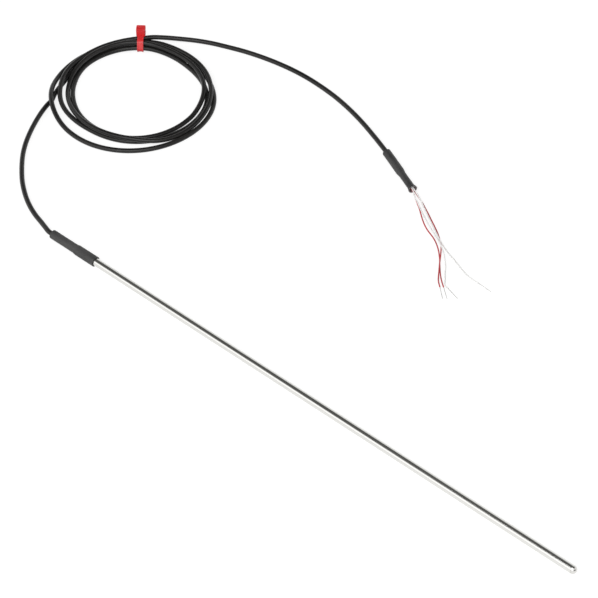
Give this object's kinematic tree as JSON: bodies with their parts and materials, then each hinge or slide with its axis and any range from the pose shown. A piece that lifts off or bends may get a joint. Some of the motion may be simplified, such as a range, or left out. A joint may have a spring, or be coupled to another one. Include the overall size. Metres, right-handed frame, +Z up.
{
  "type": "cable type resistance thermometer probe",
  "caption": "Straight stainless sheath with a domed tip, shrink strain sleeve, black cable coiled and held by a red tie, and bare-ended flying wires.",
  "frame": {"origin": "on the floor under the middle of the straight probe, sheath and strain sleeve together", "axes": "+X along the sheath towards its domed tip, +Z up, +Y to the side on which the cable is coiled"},
  "size_m": [0.6003, 0.2628, 0.0161],
  "materials": {
    "steel": "fine ground",
    "leg_metal": "drawn wire",
    "element_ceramic": "matt fired",
    "filler": "packed powder",
    "crimp_metal": "satin",
    "clear_sleeve": "milky",
    "red_insulation": "satin",
    "white_insulation": "satin",
    "jacket_black": "satin",
    "shrink_black": "matt",
    "liner_black": "matt",
    "epoxy": "cast",
    "tie_red": "moulded",
    "tinned_copper": "dipped"
  },
  "bodies": {
    "root": {"sheath_tube": "steel", "tip_plug": "steel", "tip_filler": "filler", "pt100_element": "element_ceramic", "element_leg_1": "leg_metal", "element_leg_2": "leg_metal", "crimp_1": "crimp_metal", "crimp_2": "crimp_metal", "splice_sleeve_1": "clear_sleeve", "splice_sleeve_2": "clear_sleeve", "core_red_1": "red_insulation", "core_red_2": "red_insulation", "core_white_1": "white_insulation", "core_white_2": "white_insulation", "cable_entry": "jacket_black", "potting_seal": "epoxy", "cable_liner": "liner_black", "strain_sleeve": "shrink_black", "lead_cable": "jacket_black", "cable_coil": "jacket_black", "tail_cable": "jacket_black", "cable_tie": "tie_red", "end_liner": "liner_black", "end_sleeve": "shrink_black", "wire_red_1": "red_insulation", "wire_red_2": "red_insulation", "wire_white_1": "white_insulation", "wire_white_2": "white_insulation", "tinned_end_1": "tinned_copper", "tinned_end_2": "tinned_copper", "tinned_end_3": "tinned_copper", "tinned_end_4": "tinned_copper"}
  },
  "joints": []
}
